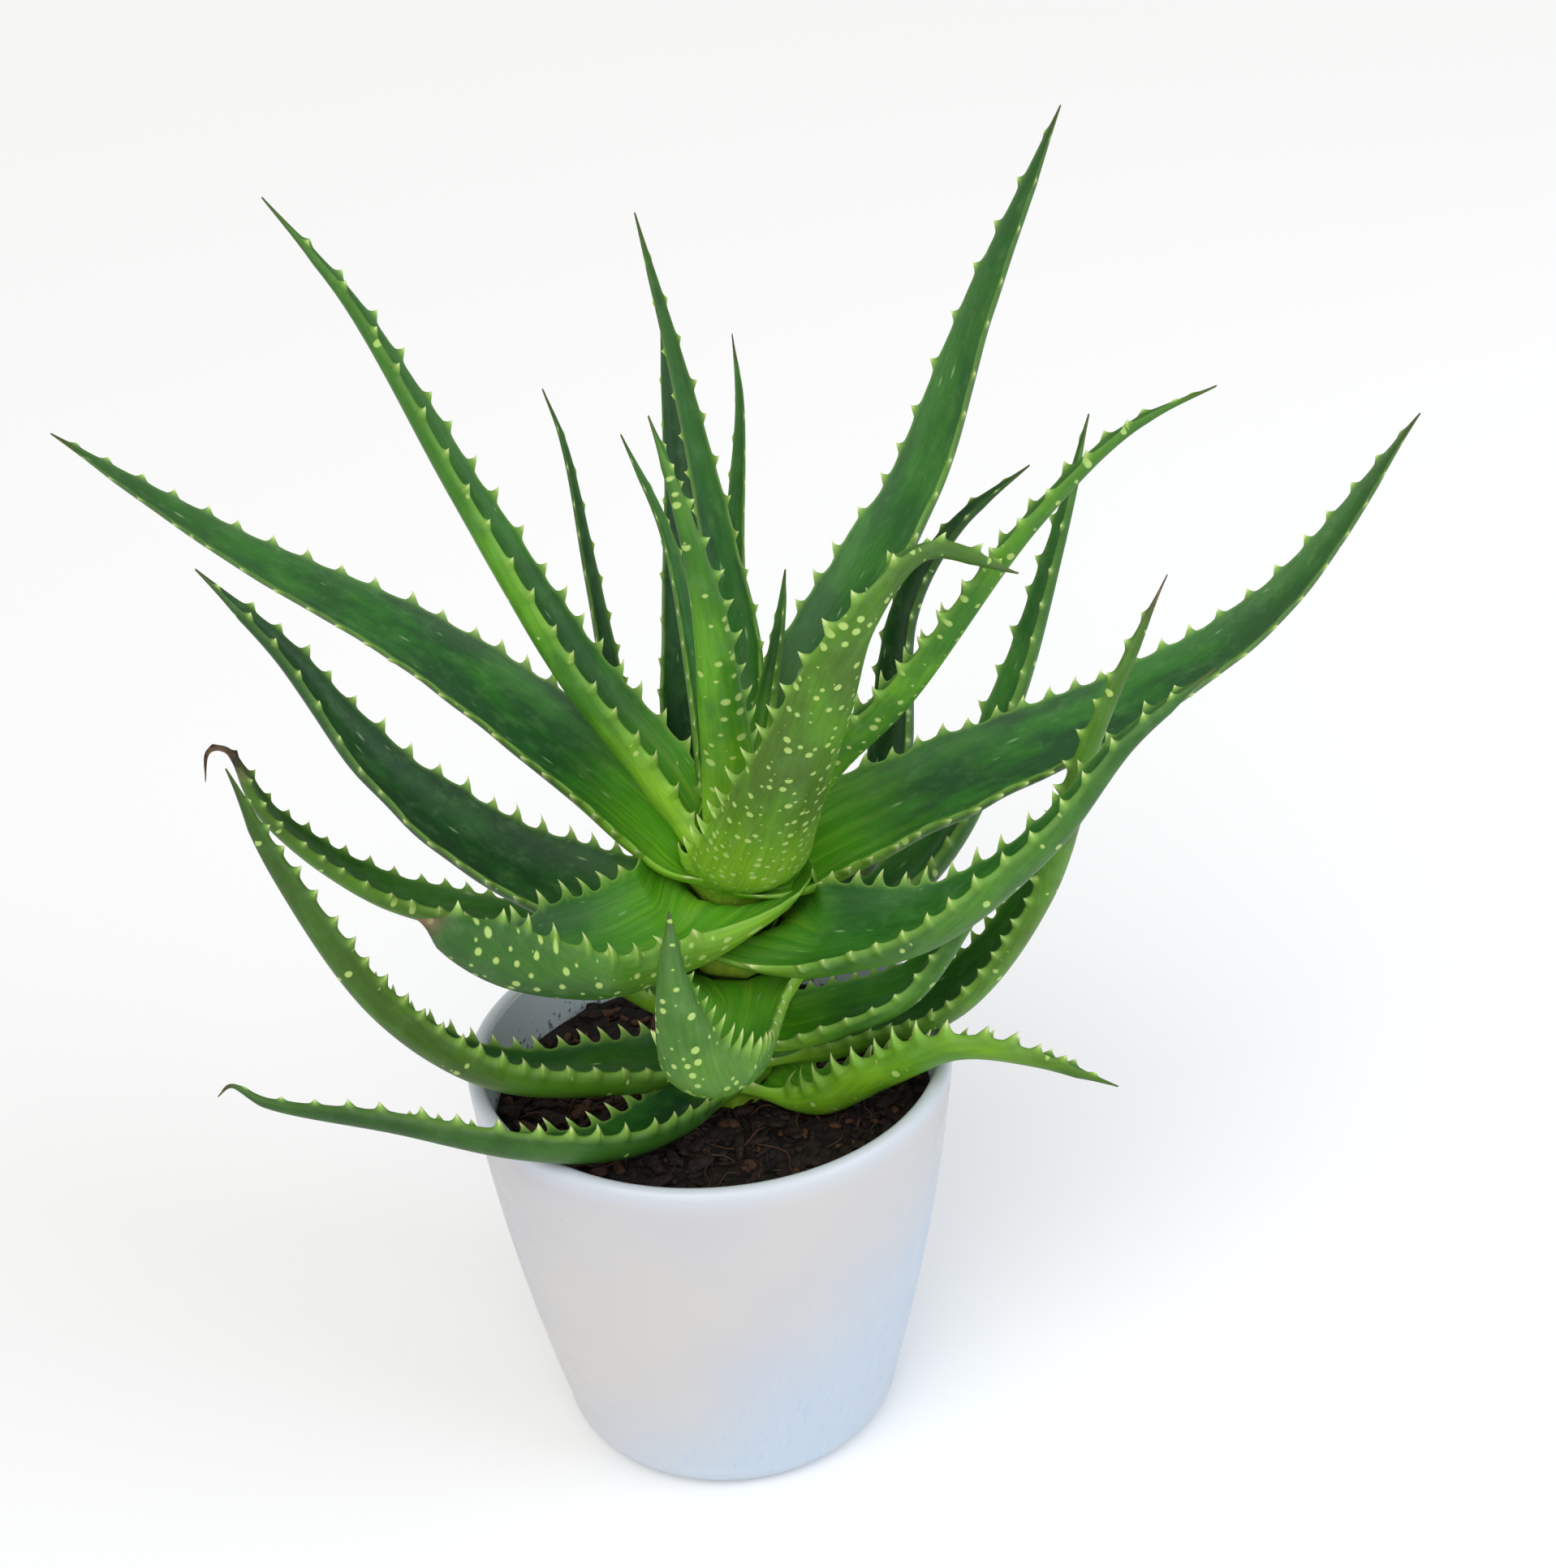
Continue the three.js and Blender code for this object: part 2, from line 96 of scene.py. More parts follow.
# Leaves, youngest first. stands: the direction it stands out in, degrees from +X. width and thick
# are those of the base, spine is the keel line of the upper face, and teeth has their height and
# spacing.
LEAVES = dict(
    inner_small=dict(
        stands=60, width=8, thick=4, channel=(60, 50, 40), teeth=(1.2, 7), tone="deep", young=60, spots=0.1,
        spine=[(14, 3, 195), (20, 8, 226), (26, 10, 254), (29, 12, 272)]),
    centre_front=dict(
        stands=255, width=16, thick=6, channel=(80, 55, 50), teeth=(3.8, 9.5), tone="fresh", young=60,
        spots=0.8,
        spine=[(10, -6, 188), (11, -12, 219), (10, -15, 248), (8, -13, 276), (2, -6, 305), (-4, 4, 321)]),
    centre_tall=dict(
        stands=85, width=17, thick=6, channel=(70, 40, 40), taper=0.9, teeth=(3.1, 11), tone="deep",
        young=60, dim=0.22,
        spine=[(10, 7, 191), (13, 20, 217), (15, 30, 240), (11, 38, 270), (4, 48, 311), (-6, 58, 358)]),
    upper_left=dict(
        stands=175, width=22, thick=6, channel=(70, 55, 50), roll=(-5, 2, 15), teeth=(3.4, 11.5),
        tone="fresh", young=60, dim=0.04, spots=0.15,
        spine=[(4, 3, 190), (-8, 10, 212), (-29, 18, 241), (-56, 31, 291), (-83, 45, 343), (-103, 50, 370)]),
    upper_right=dict(
        stands=50, width=27, thick=8, channel=(60, 25, 30), teeth=(3.1, 12.5), young=60, dim=0.12, spots=0.1,
        spine=[(14, 4, 189), (28, 24, 218), (46, 42, 246), (68, 58, 276), (87, 74, 320), (112, 90, 372)]),
    front_recurved=dict(
        stands=280, width=37, thick=8, channel=(62, 38, 40), taper=1, teeth=(4, 10), tone="olive", young=60,
        dim=0.06, spots=0.9,
        spine=[(13, -8, 183), (21, -27, 213), (33, -42, 250), (46, -48, 284), (62, -40, 299),
               (88, -24, 284)]),
    far_left=dict(
        stands=165, width=28, thick=7, channel=(50, 25, 30), roll=(-28, -22, -15), mouth=18, flare=3.6,
        rim=(7, 3), teeth=(3.4, 10.5), tone="deep", young=60, spots=0.25,
        spine=[(3, 1, 184), (-12, 7, 200), (-38, 15, 223), (-76, 31, 248), (-124, 50, 270),
               (-176, 70, 300)]),
    far_right=dict(
        stands=5, width=29, thick=8, channel=(50, 22, 35), roll=(30, 26, 22), mouth=18, flare=3.6,
        rim=(3, 7), teeth=(3.4, 10), tone="deep", young=60, dim=0.04, spots=0.3,
        spine=[(17, 0, 181), (40, 1, 195), (79, 5, 211), (125, 15, 226), (165, 26, 248), (206, 44, 294)]),
    right_arching=dict(
        stands=330, width=20, thick=5, channel=(70, 50, 40), teeth=(3.8, 11), tone="fresh", young=60,
        dim=0.05, spots=0.75,
        spine=[(17, -3, 185), (36, -8, 221), (57, -14, 246), (92, -20, 297), (117, -16, 319),
               (139, -12, 327)]),
    back_thin=dict(
        stands=80, width=10, thick=4, channel=(60, 50, 40), teeth=(1.6, 9), spots=0.1, dry=0.97,
        spine=[(11, 9, 176), (13, 34, 217), (15, 54, 258), (19, 68, 299), (18, 74, 317)]),
    back_left_thin=dict(
        stands=110, width=8, thick=4, channel=(60, 50, 40), teeth=(1.6, 9), dim=0.05, spots=0.1,
        spine=[(7, 9, 182), (3, 24, 238), (-3, 38, 273), (-14, 48, 299)]),
    back_dark=dict(
        stands=95, width=24, thick=7, teeth=(2.1, 12), tone="shaded", spots=0.1,
        spine=[(8, 9, 166), (2, 30, 202), (1, 50, 235), (1, 66, 271), (-2, 84, 320)]),
    front_left_short=dict(
        stands=225, width=42, thick=8, channel=(60, 72, 60), roll=(-8, -10, 55), full=0.35, taper=2.4,
        mouth=22, flare=4.6, rim=(4, 3), teeth=(6, 8.5), bare=24, young=60, cream=0.8, scorch=0.8, dim=0.18,
        spots=1.2, dry=0.955,
        spine=[(8, -7, 180), (-8, -25, 182), (-26, -37, 182), (-48, -47, 189), (-71, -54, 209)]),
    mid_left=dict(
        stands=180, width=29, thick=7, channel=(50, 35, 75), roll=(-26, -26, 0), teeth=(3.9, 10),
        tone="shaded",
        spine=[(1, -1, 166), (-16, -2, 175), (-52, 2, 191), (-86, 9, 220), (-110, 16, 255),
               (-130, 20, 278)]),
    front_right=dict(
        stands=310, width=29, thick=8, channel=(60, 45, 50), roll=(60, 6, 0), sheath=13, mouth=28, flare=4.6,
        rim=(3, 4), belly=6.5, teeth=(4.2, 10), bare=18, cream=1, scorch=1, dim=0.08, spots=0.35,
        spine=[(14, -8, 169), (33, -24, 178), (62, -38, 190), (92, -41, 215), (115, -34, 240),
               (139, -26, 255)]),
    front_upturned=dict(
        stands=265, width=29, thick=7, channel=(60, 50, 80), full=0.5, taper=0.8, curl=1.5, mouth=22,
        flare=4.6, teeth=(6.2, 4.4), bare=12, tone="cupped_painted_light", young=44, cream=0.6, scorch=0.6, spots=0.85,
        spine=[(10, -9, 155), (11, -28, 160), (5, -50, 156), (-2, -65, 166), (-6, -64, 188),
               (-6, -54, 207)]),
    back_left=dict(
        stands=115, width=11, thick=6, taper=0.8, teeth=(2.3, 10), tone="shaded",
        spine=[(6, 9, 150), (-13, 22, 178), (-20, 38, 216), (-26, 54, 256), (-31, 64, 291), (-36, 68, 306)]),
    right_steep=dict(
        stands=20, width=18, thick=7, teeth=(2.9, 11), dim=0, spots=0.3,
        spine=[(15, 4, 143), (42, 14, 157), (70, 30, 174), (92, 46, 212), (106, 56, 252), (117, 62, 292)]),
    back_right_arch=dict(
        stands=45, width=20, thick=7, teeth=(2.1, 11), tone="shaded",
        spine=[(13, 6, 138), (36, 32, 153), (56, 56, 180), (64, 69, 230), (80, 72, 256), (101, 68, 275)]),
    right_hidden=dict(
        stands=330, width=20, thick=6, channel=(60, 50, 40), roll=(30, 15, 0), teeth=(2.9, 9), spots=0.3,
        spine=[(13, -4, 132), (35, -12, 143), (57, -17, 155), (77, -18, 183), (98, -14, 205)]),
    left_curl_tip=dict(
        stands=165, width=16, thick=6, channel=(60, 60, 40), roll=(-8, 0, 0), taper=1.8, teeth=(2.9, 8.5),
        fade=0.6, tone="olive", dim=0.1, spots=0.15, dry=0.87,
        spine=[(0, 4, 130), (-24, 20, 141), (-60, 29, 155), (-94, 30, 168), (-120, 22, 198), (-129, 15, 225),
               (-133, 10, 227), (-134, 6, 220)]),
    low_left_long=dict(
        stands=195, width=18, thick=7, channel=(50, 50, 45), roll=(-10, 25, 50), taper=1.9, teeth=(4, 8),
        fade=0.7, tone="olive", young=14, dim=0.34, spots=0.15,
        spine=[(-2, -3, 126), (-26, -19, 134), (-58, -28, 143), (-85, -29, 165), (-110, -24, 208),
               (-121, -22, 239)]),
    right_brown_tip=dict(
        stands=10, width=22, thick=6, channel=(50, 55, 50), roll=(0, 0, -70), teeth=(3.4, 8.5), tone="olive",
        dim=0, dry=0.955,
        spine=[(13, 3, 121), (40, 5, 126), (71, 5, 136), (96.5, 1, 174), (109.5, -11, 229.5),
               (130, 0, 270)]),
    low_right=dict(
        stands=340, width=20, thick=7, channel=(50, 45, 40), roll=(-10, -40, -25), teeth=(7.2, 8), fade=0.75,
        tone="bright", dim=0.02, spots=0.25,
        spine=[(12, -4, 115), (30, -12, 117), (50, -21, 131), (70, -29, 143), (92, -33, 140),
               (114, -38, 132)]),
    low_left_rim=dict(
        stands=230, width=18, thick=6, channel=(50, 45, 40), roll=(0, 20, 30), teeth=(5.6, 10), fade=0.95,
        tone="deep", young=18, dim=0.3, spots=0.15, dry=0.965,
        spine=[(3, -6, 117), (-26, -43, 127), (-50, -57, 138), (-84, -56, 147), (-120, -44, 147),
               (-130, -40, 150), (-135, -38, 145)]),
)

# Skins: two greens of the upper face, two yellower ones of the underside, that of the far end, and
# how much closer together the spots are than on most leaves
SKIN_COLOURS = {
    "deep": (("#317222", "#204f24"), ("#3f7020", "#2a541b"), "#365f28", 1.0),
    "mid": (("#3a7a26", "#276022"), ("#4a7f22", "#35651d"), "#2d5a23", 1.0),
    "fresh": (("#34701c", "#26591c"), ("#5f9d1b", "#3f7a19"), "#33611f", 1.2),
    "olive": (("#3a7420", "#2c6220"), ("#578c14", "#4c701a"), "#3a601c", 1.45),
    "bright": (("#4f8f26", "#3c7c20"), ("#76a91c", "#568e16"), "#294611", 1.0),
    # the upper greens of this cupped skin are lightened as painted light, for the shaded inside of the cup
    "cupped_painted_light": (("#62a634", "#4f932c"), ("#548426", "#426f26"), "#3f6826", 1.6),
    "shaded": (("#245420", "#183d1a"), ("#2c581c", "#1d4418"), "#1f4620", 1.0),
}

MM = 0.001
FULL_TURN = 2 * math.pi
rng = np.random.default_rng(11)


# ------ small tools
def linear(hex_colour):
    """An sRGB hex colour as linear RGBA: each channel goes through the sRGB curve the other way."""
    c = np.array([int(hex_colour[i:i + 2], 16) for i in (1, 3, 5)]) / 255
    c = np.where(c <= 0.04045, c / 12.92, ((c + 0.055) / 1.055) ** 2.4)
    return (*c.tolist(), 1.0)


def unit(v):
    """Vectors divided by their own length."""
    return v / np.linalg.norm(v, axis=-1, keepdims=True)


def smooth(x, low, high):
    """0 below low, 1 above high, and 3x^2 - 2x^3 in between."""
    x = np.clip((x - low) / (high - low), 0, 1)
    return x * x * (3 - 2 * x)


def lumps(points, size, seed, waves=14):
    """Smooth random relief between about -1 and 1: a sum of sine waves in random directions, with
    wavelengths from 0.7 to 1.6 times size."""
    r = np.random.default_rng(seed)
    way = unit(r.normal(size=(waves, points.shape[-1])))
    k = way * (FULL_TURN / (size * r.uniform(0.7, 1.6, (waves, 1))))
    return np.sin(points @ k.T + r.uniform(0, FULL_TURN, waves)).sum(-1) / math.sqrt(waves)


def round_turn(count):
    """Even angles round a full turn."""
    return np.linspace(0, FULL_TURN, count, endpoint=False)


def placed(name, data):
    """A new object of the scene."""
    made = bpy.data.objects.new(name, data)
    bpy.context.scene.collection.objects.link(made)
    return made


def piece(name, points, faces, material, node=None, slot=None, **values):
    """A mesh object at the origin from points in mm, riding on the plant. values are per-point
    attributes: one number or three numbers to a point."""
    mesh = bpy.data.meshes.new(name)
    mesh.from_pydata((points * MM).tolist(), [], [f.tolist() for f in faces])
    mesh.polygons.foreach_set("use_smooth", np.ones(len(mesh.polygons), bool))
    for key, value in values.items():
        kind, field = ("FLOAT_VECTOR", "vector") if value.ndim == 2 else ("FLOAT", "value")
        mesh.attributes.new(key, kind, "POINT").data.foreach_set(field, value.astype(np.float32).ravel())
    mesh.materials.append(material)
    mesh.update()
    made = placed(name, mesh)
    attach(made, "root")
    if node:
        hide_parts(node)
    return made


def closed_faces(rows, around, count=1, order=1):
    """Faces of count tubes whose points follow one another: rows rings of around points, then a
    point that closes the first ring and one that closes the last. order -1 turns the faces over."""
    i, j = np.meshgrid(np.arange(rows - 1) * around, np.arange(around), indexing="ij")
    k = (j + 1) % around
    sides = np.stack([i + j, i + k, i + around + k, i + around + j], -1).reshape(-1, 4)
    start = rows * around
    last = start - around
    ends = np.concatenate([np.stack([k[0], j[0], np.full(around, start)], -1),
                           np.stack([last + j[0], last + k[0], np.full(around, start + 1)], -1)])
    step = (np.arange(count) * (start + 2))[:, None, None]
    return [*(sides + step).reshape(-1, 4)[:, ::order], *(ends + step).reshape(-1, 3)[:, ::order]]


def fill(tree, made, inputs):
    """Fills the inputs of a node: a socket is linked, a value is set."""
    for key, value in inputs.items():
        if isinstance(value, bpy.types.NodeSocket):
            tree.links.new(value, made.inputs[key])
        else:
            made.inputs[key].default_value = value


def node(tree, inputs=None, kind="", out=0, **settings):
    """Adds a node, sets its properties and fills its inputs. Gives back its output out, or all of
    them for out=None."""
    made = tree.nodes.new("ShaderNode" + kind)
    for key, value in settings.items():
        setattr(made, key, value)
    fill(tree, made, inputs or {})
    return made.outputs if out is None else made.outputs[out]


# Settings used again and again. COLOUR: inputs 0 share, 6 and 7 the two colours. EASE: inputs 0
# value, 1 and 2 where it starts and ends, 3 and 4 what it gives there. TIMES_PLUS: 0 times 1 plus
# 2. SPLIT gives all three parts of a vector. FIELD and GRADE: a point attribute, three numbers or one.
COLOUR = dict(kind="Mix", data_type="RGBA", out=2)
EASE = dict(kind="MapRange", interpolation_type="SMOOTHSTEP")
TIMES = dict(kind="Math", operation="MULTIPLY")
PLUS = dict(kind="Math", operation="ADD")
MINUS = dict(kind="Math", operation="SUBTRACT")
ABOVE = dict(kind="Math", operation="GREATER_THAN")
TIMES_PLUS = dict(kind="Math", operation="MULTIPLY_ADD")
SPLIT = dict(kind="SeparateXYZ", out=None)
FIELD = dict(kind="Attribute", out="Vector")
GRADE = dict(kind="Attribute", out="Fac")
SCALED = dict(kind="VectorMath", operation="MULTIPLY")


# ------ materials
def blank_material(name):
    """A new material, its node tree and its shader."""
    material = bpy.data.materials.new(name)
    material.use_nodes = True
    tree = material.node_tree
    return material, tree, tree.nodes["Principled BSDF"]


def leaf_skin(name, upper, under, tip, crowded):
    """Living aloe leaf: a waxy cuticle over green water tissue, so it is smooth and half glossy. The
    young base is vivid yellow-green with the pleats of the bud still in it, and is made brighter still as
    painted light against the shade in the crown; the blade is greener and the far end darker. The underside
    is yellower, with raised pale spots. The margin line and the points of the teeth are pale and horny, and
    a dried tip is brown, dull and wrinkled. Leaves deep in the plant are darkened as painted shade."""
    material, tree, shader = blank_material("aloe_leaf_" + name)
    skin = node(tree, attribute_name="skin", **FIELD)        # mm along (offset for each leaf), mm across, dim
    below, edge, along = node(tree, {0: node(tree, attribute_name="zone", **FIELD)}, **SPLIT)
    tooth, dry, young = node(tree, {0: node(tree, attribute_name="wear", **FIELD)}, **SPLIT)
    dim = node(tree, {0: skin}, **SPLIT)[2]
    spotted = node(tree, attribute_name="spots", **GRADE)

    noise = {}
    for key, per_mm_along, per_mm_across, detail, rough in (
            ("clouds", 0.030, 0.075, 4, 0.6),       # patches 33 mm long and 13 mm wide
            ("pleats", 0.010, 0.42, 2, 0.5),        # folds 2 to 3 mm apart that run out from the base
            ("grain", 0.08, 1.3, 4, 0.6),           # fibres under the skin, under 1 mm apart
            ("bloom", 0.15, 0.24, 5, 0.65)):        # the uneven waxy bloom
        at = node(tree, {0: skin, 1: (per_mm_along, per_mm_across, 1.0)}, **SCALED)
        noise[key] = node(tree, {"Vector": at, "Scale": 1.0, "Detail": detail, "Roughness": rough},
                          kind="TexNoise")

    patchy = node(tree, {0: noise["clouds"], 1: 0.38, 2: 0.60}, **EASE)
    is_under = node(tree, {0: below, 1: 0.25, 2: 0.75}, **EASE)
    blade = [node(tree, {0: patchy, 6: linear(a), 7: linear(b)}, **COLOUR) for a, b in (upper, under)]
    colour = node(tree, {0: is_under, 6: blade[0], 7: blade[1]}, **COLOUR)
    # the young base's yellow-green: its own colour, made brighter as painted light against the crown's shade
    fresh = node(tree, {0: is_under, 6: linear("#63b41a"), 7: linear("#93cf2c")}, **COLOUR)
    fold = node(tree, {0: noise["pleats"], 1: 0.44, 2: 0.66, 4: 0.30}, **EASE)
    fold = node(tree, {0: fold, 1: young}, **TIMES)
    for share, over in (
            # a darker far end with a brown point
            (node(tree, {0: along, 1: 0.45, 2: 1.0, 4: 0.8}, **EASE), linear(tip)),
            (node(tree, {0: along, 1: 0.93, 2: 0.99, 4: 0.8}, **EASE), linear("#3a331c")),
            # the young base (its own yellow-green, brightened as painted light against the crown's shade),
            # its cream foot and its pale folds
            (young, fresh),
            (node(tree, {0: young, 1: 1.0, 2: 1.9, 4: 0.85}, **EASE), linear("#cfdf50")),
            (fold, linear("#b4da4c")),
            # dark fibres, the grey-green bloom, and the shade deep in the plant
            (node(tree, {0: noise["grain"], 1: 0.3, 2: 0.72, 4: 0.28}, **EASE), linear("#173d1a")),
            (node(tree, {0: noise["bloom"], 1: 0.46, 2: 0.76, 4: 0.20}, **EASE), linear("#74a064")),
            (dim, linear("#0c200a"))):
        colour = node(tree, {0: share, 6: colour, 7: over}, **COLOUR)

    # pale spots, one to a cell at most: cells to a mm along and across, their least and largest
    # radius in cells, and the share of cells without one
    marks = {}
    for key, cell, small, large, none_on in (
            ("dots", (0.22 * crowded, 0.27 * crowded, 0.0), 0.06, 0.27 * crowded ** 0.6,
             node(tree, {0: 1.0, 1: spotted}, **MINUS)),
            ("flecks", (0.055, 0.30, 0.0), 0.03, 0.12, 0.72)):
        at = node(tree, {0: skin, 1: cell}, **SCALED)
        spread = node(tree, {"Vector": at, "Scale": 1.0, "Randomness": 0.9}, kind="TexVoronoi",
                      voronoi_dimensions="2D", out=None)
        own = node(tree, {0: spread["Color"]}, kind="SeparateColor", out=None)
        radius = node(tree, {0: own[0], 3: small, 4: large}, kind="MapRange")
        mark = node(tree, {0: radius, 1: spread["Distance"]}, **MINUS)
        there = node(tree, {0: own[1], 1: none_on}, **ABOVE)
        marks[key] = node(tree, {0: node(tree, {0: mark, 1: -0.03, 2: 0.09}, **EASE), 1: there}, **TIMES)
    on_under = node(tree, {0: below, 1: 0.6, 2: 0.9}, **EASE)
    on_upper = node(tree, {0: below, 1: 0.4, 2: 0.1, 4: 0.5}, **EASE)
    dots = node(tree, {0: marks["dots"], 1: on_under}, **TIMES)
    flecks = node(tree, {0: marks["flecks"], 1: on_upper}, **TIMES)
    for share, over in (
            # raised dots of the underside and flat flecks of the upper face
            (node(tree, {0: dots, 1: 0.75}, **TIMES), "#b4cf74"),
            (flecks, "#9cbf85"),
            # the margin line, the foot of each tooth and its horny point
            (node(tree, {0: edge, 1: 0.5}, **TIMES), "#86b14a"),
            (node(tree, {0: tooth, 1: 0.05, 2: 0.55, 4: 0.6}, **EASE), "#8bb54c"),
            (node(tree, {0: tooth, 1: 0.45, 2: 0.95}, **EASE), "#cddc92")):
        colour = node(tree, {0: share, 6: colour, 7: linear(over)}, **COLOUR)
    patchy = node(tree, {0: noise["bloom"], 1: 0.35, 2: 0.65}, **EASE)
    husk = node(tree, {0: patchy, 6: linear("#2c2119"), 7: linear("#756049")}, **COLOUR)
    colour = node(tree, {0: dry, 6: colour, 7: husk}, **COLOUR)

    relief = node(tree, {0: dots, 1: 0.35}, **TIMES)
    for height, much in (
            (noise["grain"], 0.10), (noise["bloom"], 0.22), (fold, 0.9),
            (node(tree, {0: dry, 1: noise["bloom"]}, **TIMES), 2.0)):      # wrinkles of a dried tip
        relief = node(tree, {0: height, 1: much, 2: relief}, **TIMES_PLUS)
    waxy = node(tree, {0: noise["bloom"], 1: 0.3, 2: 0.8, 3: 0.40, 4: 0.56}, **EASE)
    fill(tree, shader, {
        "Base Color": colour,
        "Normal": node(tree, {"Height": relief, "Distance": 0.6 * MM, "Strength": 0.6}, kind="Bump"),
        "Roughness": node(tree, {0: waxy, 1: node(tree, {0: dry, 1: 0.3}, **TIMES)}, **PLUS),
        "IOR": 1.42,                      # plant wax
        "Specular IOR Level": 0.36,       # its powdery bloom weakens the mirror part
        "Subsurface Weight": 0.08,        # light soaks a little way into the flesh
        "Subsurface Radius": (0.0012, 0.0024, 0.0006)})
    return material


# ------ leaves
EVEN = np.linspace(0, 1, 401)
BASE_TO_TIP = (0, 0.5, 1)
NEAR_TIP = np.array([6, 4.5, 3, 2, 1.2, 0.6, 0.2])       # mm
NEAR_TOOTH = np.array([-2.2, -1, -0.7, -0.42, -0.2, -0.07, 0, 0.07, 0.2, 0.42, 0.7, 1, 2.2]) * SPIKE


def spine_line(points, per_span=40):
    """A centripetal Catmull-Rom curve through the points, with a mirrored point beyond each end.
    Every span is a cubic whose end slopes come from chords divided by the root of their length."""
    p = np.array(points, float)
    p = np.vstack([2 * p[0] - p[1], p, 2 * p[-1] - p[-2]])
    a, b, c, d = p[:-3], p[1:-2], p[2:-1], p[3:]
    ab, bc, cd = (np.sqrt(np.linalg.norm(q, axis=1))[:, None] for q in (b - a, c - b, d - c))
    leave = ((b - a) / ab - (c - a) / (ab + bc) + (c - b) / bc) * bc
    reach = ((c - b) / bc - (d - b) / (bc + cd) + (d - c) / cd) * bc
    t = np.linspace(0, 1, per_span, endpoint=False)[None, :, None]
    b, c, leave, reach = b[:, None], c[:, None], leave[:, None], reach[:, None]
    line = (b + leave * t + (3 * (c - b) - 2 * leave - reach) * t ** 2
            + (2 * (b - c) + leave + reach) * t ** 3).reshape(-1, 3)
    return np.vstack([line, points[-1]])


def read(line, places, at):
    """A line's points at the places at, when places are those of the points it is given by."""
    return np.stack([np.interp(at, places, line[:, k]) for k in range(3)], 1)


def teeth_along(length, height, gap, bare, fade, r):
    """Where teeth stand on one margin: distances in mm, and the height of each. They start about bare
    mm from the base, are closest there and longest 11 mm on, and vary in place and size."""
    at, places = bare + r.uniform(0, gap * 0.6), []
    while at < length - BARE_TIP:
        places.append(at)
        at += gap * (0.72 + 0.42 * at / length) * r.uniform(0.82, 1.18)
    at = np.round(np.array(places), 1)
    tall = height * (0.45 + 0.55 * smooth(at, bare - 3, bare + 11)) * (1 - fade * (at / length) ** 1.4)
    return at, tall * r.uniform(0.82, 1.15, len(at))


def comb(x, at):
    """Shape of the margin's teeth at x, 1 at each point: most of the height rises as
    (1 - distance / SPIKE) ** 1.5, and the rest as (1 - distance / SHOULDER) ** 2."""
    away = np.abs(x[:, None] - at)
    return 0.70 * np.clip(1 - away / SPIKE, 0, 1) ** 1.5 + 0.30 * np.clip(1 - away / SHOULDER, 0, 1) ** 2


def stations(length, sheath, margins):
    """Where a leaf's sections lie, in mm from its base: evenly, closer at the tip and at each tooth."""
    a = np.concatenate([np.linspace(-sheath, 0, 8), np.arange(0, length - 1, SECTION_GAP), length - NEAR_TIP,
                        *((at[:, None] + NEAR_TOOTH).ravel() for at, _ in margins)])
    a = np.unique(np.round(a, 1))
    return a[(a >= -sheath) & (a < length - 0.15)]


def axes_along(look, dense, a, s):
    """The spine's point at each section and its axes there: along the leaf, up out of the gutter, and
    to the side. The slope is the mean of 9 points. Up is square to it and nearest to a direction
    that rises by 1 and leans inwards by 0.5, or by more where the leaf curls, before the roll."""
    slopes = np.gradient(dense, axis=0)
    slopes = np.stack([np.convolve(np.pad(slopes[:, k], 4, mode="edge"), np.ones(9) / 9, "valid")
                       for k in range(3)], 1)
    tangent = unit(read(slopes, EVEN, s))
    middle = read(dense, EVEN, s) + tangent * np.minimum(a, 0)[:, None]
    stands = math.radians(look["stands"])
    lean = 0.5 + look["curl"] * smooth(s, 0.5, 0.85)
    inward = np.stack([-lean * math.cos(stands), -lean * math.sin(stands), np.ones(len(s))], 1)
    up = unit(inward - tangent * (tangent * inward).sum(1, keepdims=True))
    side = np.cross(tangent, up)
    turn = np.radians(np.interp(s, BASE_TO_TIP, look["roll"]))[:, None]
    return (middle, tangent, up * np.cos(turn) + side * np.sin(turn), side * np.cos(turn) - up * np.sin(turn))


def stem_x(z):
    """x of the stem's axis at height z."""
    return STEM_FOOT[0] + STEM_LEAN * (z - STEM_FOOT[1])


def stem_radius(z):
    """The stem's radius at height z, without its scars."""
    return np.interp(z, [p[1] for p in STEM_PROFILE], [p[0] for p in STEM_PROFILE])


def sheathed(points, look, a, across, swell, pleat):
    """The points with those below the mouth moved, in angle, radius and height, towards a sleeve round
    the stem, and wholly so from 3 mm below the base. Over the sheath climb goes from 0 to 1, and the
    sleeve's radius adds the flare times climb^1.3 and the belly times 4 climb (1 - climb)."""
    stands = math.radians(look["stands"])
    opened = smooth(a, -3, look["mouth"])[:, None]
    dx, dy = points[..., 0] - stem_x(points[..., 2]), points[..., 1]
    around = (np.arctan2(dy, dx) - stands + math.pi) % FULL_TURN - math.pi
    wrap = math.radians(min(165.0, 60.0 + 3.0 * look["width"]))
    around = -across * wrap * (1 - opened) + around * opened
    base_z = look["spine"][0][2]
    climb = np.clip(1 + np.minimum(a, MOUTH) / np.where(a < 0, look["sheath"], SHEATH), 0, None)[:, None]
    bulge = look["belly"] * np.clip(4 * climb * (1 - climb), 0, 1)
    sleeve = (stem_radius(base_z) + GAP + look["flare"] * climb ** 1.3 + bulge
              + (0.5 + 1.2 * climb) * swell + SLEEVE_PLEAT_DEPTH * pleat)
    away = sleeve * (1 - opened) + np.hypot(dx, dy) * opened
    rim = np.where(across < 0, *look["rim"]) * across ** 2
    height = (base_z + a[:, None] + rim) * (1 - opened) + points[..., 2] * opened
    way = stands + around
    wrapped = np.stack([stem_x(height) + away * np.cos(way), away * np.sin(way), height], -1)
    return np.where((a < look["mouth"])[:, None, None], wrapped, points)


